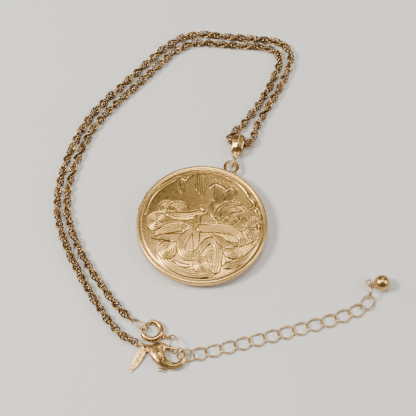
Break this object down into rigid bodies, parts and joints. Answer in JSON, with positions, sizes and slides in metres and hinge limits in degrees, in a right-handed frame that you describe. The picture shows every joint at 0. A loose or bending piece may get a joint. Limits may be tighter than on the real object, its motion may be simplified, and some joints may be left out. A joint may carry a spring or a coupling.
{
  "type": "hinged locket necklace",
  "caption": "Round engraved locket that opens on a side hinge, hung from a bail on a rope chain with a spring ring, a lobster clasp and an extender chain with a ball drop.",
  "frame": {"origin": "Middle of the locket's flat back, on the surface it lies on.", "axes": "+Z rises through the closed front cover, +Y points from the locket to its top loop, and the cover's hinge runs along Y on the -X side."},
  "size_m": [0.104, 0.1171, 0.0052],
  "materials": {
    "gold_tone": "polished gold-tone plating",
    "chain_gold": "polished gold-tone rope chain",
    "clear_window": "clear"
  },
  "bodies": {
    "chain": {"necklace_chain": "chain_gold"},
    "bail": {"bail": "gold_tone"},
    "bail_ring": {"bail_ring": "gold_tone"},
    "locket": {"back_cover": "gold_tone", "snap_bezel": "gold_tone", "picture_ring_back": "gold_tone", "picture_window_back": "clear_window", "hinge_knuckle_upper": "gold_tone", "hinge_knuckle_lower": "gold_tone", "hinge_pin": "gold_tone", "top_loop": "gold_tone"},
    "cover": {"front_cover": "gold_tone", "hinge_knuckle_front": "gold_tone", "picture_ring_front": "gold_tone", "picture_window_front": "clear_window"},
    "ring_a": {"chain_end_ring_a": "gold_tone"},
    "spring_ring": {"spring_ring_tube": "gold_tone", "spring_ring_eye": "gold_tone"},
    "bolt": {"spring_ring_bolt": "gold_tone"},
    "jump_ring": {"clasp_jump_ring": "gold_tone"},
    "clasp_link": {"clasp_oval_link": "gold_tone"},
    "ring_b": {"chain_end_ring_b": "gold_tone"},
    "tag": {"tag": "gold_tone"},
    "lobster": {"lobster_body": "gold_tone", "lobster_pin": "gold_tone"},
    "gate": {"lobster_gate": "gold_tone"},
    "link_01": {"extender_link_01": "gold_tone"},
    "link_02": {"extender_link_02": "gold_tone"},
    "link_03": {"extender_link_03": "gold_tone"},
    "link_04": {"extender_link_04": "gold_tone"},
    "link_05": {"extender_link_05": "gold_tone"},
    "link_06": {"extender_link_06": "gold_tone"},
    "link_07": {"extender_link_07": "gold_tone"},
    "link_08": {"extender_link_08": "gold_tone"},
    "link_09": {"extender_link_09": "gold_tone"},
    "link_10": {"extender_link_10": "gold_tone"},
    "link_11": {"extender_link_11": "gold_tone"},
    "link_12": {"extender_link_12": "gold_tone"},
    "link_13": {"extender_link_13": "gold_tone"},
    "link_14": {"extender_link_14": "gold_tone"},
    "link_15": {"extender_link_15": "gold_tone"},
    "drop": {"drop_eye": "gold_tone", "drop_ball": "gold_tone"}
  },
  "joints": [
    {"name": "bail_swing", "type": "hinge", "parent": "chain", "child": "bail", "pos_m": [-0.00142, 0.0298, 0.00195], "axis": [-0.9781, -0.208, 0], "range_deg": [0, 25]},
    {"name": "bail_ring_swing", "type": "hinge", "parent": "bail", "child": "bail_ring", "pos_m": [-0.00028, 0.02442, 0.002], "axis": [-0.9781, -0.208, 0], "range_deg": [0, 15]},
    {"name": "locket_swing", "type": "hinge", "parent": "bail_ring", "child": "locket", "pos_m": [0, 0.02295, 0.00198], "axis": [-1, 0, 0], "range_deg": [0, 50]},
    {"name": "cover_hinge", "type": "hinge", "parent": "locket", "child": "cover", "pos_m": [-0.01885, 0, 0.00241], "axis": [0, -1, 0], "range_deg": [0, 150]},
    {"name": "ring_a_turn", "type": "hinge", "parent": "chain", "child": "ring_a", "pos_m": [-0.0062, -0.0344, 0.00122], "axis": [0, 0, 1], "range_deg": [-2, 2]},
    {"name": "spring_ring_turn", "type": "hinge", "parent": "ring_a", "child": "spring_ring", "pos_m": [-0.0021, -0.0352, 0.0011], "axis": [0, 0, 1], "range_deg": [-2, 2]},
    {"name": "bolt_slide", "type": "hinge", "parent": "spring_ring", "child": "bolt", "pos_m": [0.0004, -0.03515, 0.00106], "axis": [0, 0, -1], "range_deg": [0, 50], "stiffness_Nm_per_rad": 0.0002},
    {"name": "jump_ring_turn", "type": "hinge", "parent": "spring_ring", "child": "jump_ring", "pos_m": [0.00485, -0.03515, 0.0011], "axis": [0, 0, 1], "range_deg": [-2, 2]},
    {"name": "clasp_link_turn", "type": "hinge", "parent": "jump_ring", "child": "clasp_link", "pos_m": [0.0061, -0.03505, 0.0013], "axis": [0, 0, 1], "range_deg": [-2, 2]},
    {"name": "ring_b_turn", "type": "hinge", "parent": "chain", "child": "ring_b", "pos_m": [-0.0019, -0.04035, 0.0016], "axis": [0, 0, 1], "range_deg": [-3, 1.8]},
    {"name": "tag_turn", "type": "hinge", "parent": "ring_b", "child": "tag", "pos_m": [0.00052, -0.04035, 0.00066], "axis": [0, 0, 1], "range_deg": [-12, 3]},
    {"name": "lobster_turn", "type": "hinge", "parent": "ring_b", "child": "lobster", "pos_m": [0.00087, -0.04035, 0.00135], "axis": [0, 0, 1], "range_deg": [-2, 2]},
    {"name": "gate_hinge", "type": "hinge", "parent": "lobster", "child": "gate", "pos_m": [0.0053, -0.0389, 0.00135], "axis": [0, 0, -1], "range_deg": [0, 11], "stiffness_Nm_per_rad": 0.0002},
    {"name": "link_01_turn", "type": "hinge", "parent": "lobster", "child": "link_01", "pos_m": [0.0118, -0.0383, 0.00135], "axis": [0, 0, 1], "range_deg": [-4, 2]},
    {"name": "link_02_turn", "type": "hinge", "parent": "link_01", "child": "link_02", "pos_m": [0.01381, -0.03705, 0.00115], "axis": [0, 0, 1], "range_deg": [-12, 12]},
    {"name": "link_03_turn", "type": "hinge", "parent": "link_02", "child": "link_03", "pos_m": [0.01697, -0.03469, 0.00076], "axis": [0, 0, 1], "range_deg": [-12, 12]},
    {"name": "link_04_turn", "type": "hinge", "parent": "link_03", "child": "link_04", "pos_m": [0.02028, -0.03206, 0.00066], "axis": [0, 0, 1], "range_deg": [-12, 12]},
    {"name": "link_05_turn", "type": "hinge", "parent": "link_04", "child": "link_05", "pos_m": [0.02357, -0.0294, 0.00066], "axis": [0, 0, 1], "range_deg": [-12, 12]},
    {"name": "link_06_turn", "type": "hinge", "parent": "link_05", "child": "link_06", "pos_m": [0.02685, -0.02671, 0.00066], "axis": [0, 0, 1], "range_deg": [-12, 12]},
    {"name": "link_07_turn", "type": "hinge", "parent": "link_06", "child": "link_07", "pos_m": [0.03012, -0.02403, 0.00066], "axis": [0, 0, 1], "range_deg": [-12, 12]},
    {"name": "link_08_turn", "type": "hinge", "parent": "link_07", "child": "link_08", "pos_m": [0.0334, -0.02135, 0.00066], "axis": [0, 0, 1], "range_deg": [-12, 12]},
    {"name": "link_09_turn", "type": "hinge", "parent": "link_08", "child": "link_09", "pos_m": [0.03667, -0.01866, 0.00066], "axis": [0, 0, 1], "range_deg": [-12, 12]},
    {"name": "link_10_turn", "type": "hinge", "parent": "link_09", "child": "link_10", "pos_m": [0.03992, -0.01595, 0.00066], "axis": [0, 0, 1], "range_deg": [-12, 12]},
    {"name": "link_11_turn", "type": "hinge", "parent": "link_10", "child": "link_11", "pos_m": [0.04313, -0.01318, 0.00066], "axis": [0, 0, 1], "range_deg": [-12, 12]},
    {"name": "link_12_turn", "type": "hinge", "parent": "link_11", "child": "link_12", "pos_m": [0.04624, -0.01031, 0.00066], "axis": [0, 0, 1], "range_deg": [-12, 12]},
    {"name": "link_13_turn", "type": "hinge", "parent": "link_12", "child": "link_13", "pos_m": [0.0492, -0.0073, 0.00066], "axis": [0, 0, 1], "range_deg": [-12, 12]},
    {"name": "link_14_turn", "type": "hinge", "parent": "link_13", "child": "link_14", "pos_m": [0.0516, -0.00405, 0.0007], "axis": [0, 0, 1], "range_deg": [-12, 12]},
    {"name": "link_15_turn", "type": "hinge", "parent": "link_14", "child": "link_15", "pos_m": [0.0523, -0.00057, 0.00136], "axis": [0, 0, 1], "range_deg": [-12, 12]},
    {"name": "drop_turn", "type": "hinge", "parent": "link_15", "child": "drop", "pos_m": [0.05153, 0.00222, 0.00202], "axis": [0, 0, 1], "range_deg": [-12, 12]}
  ]
}
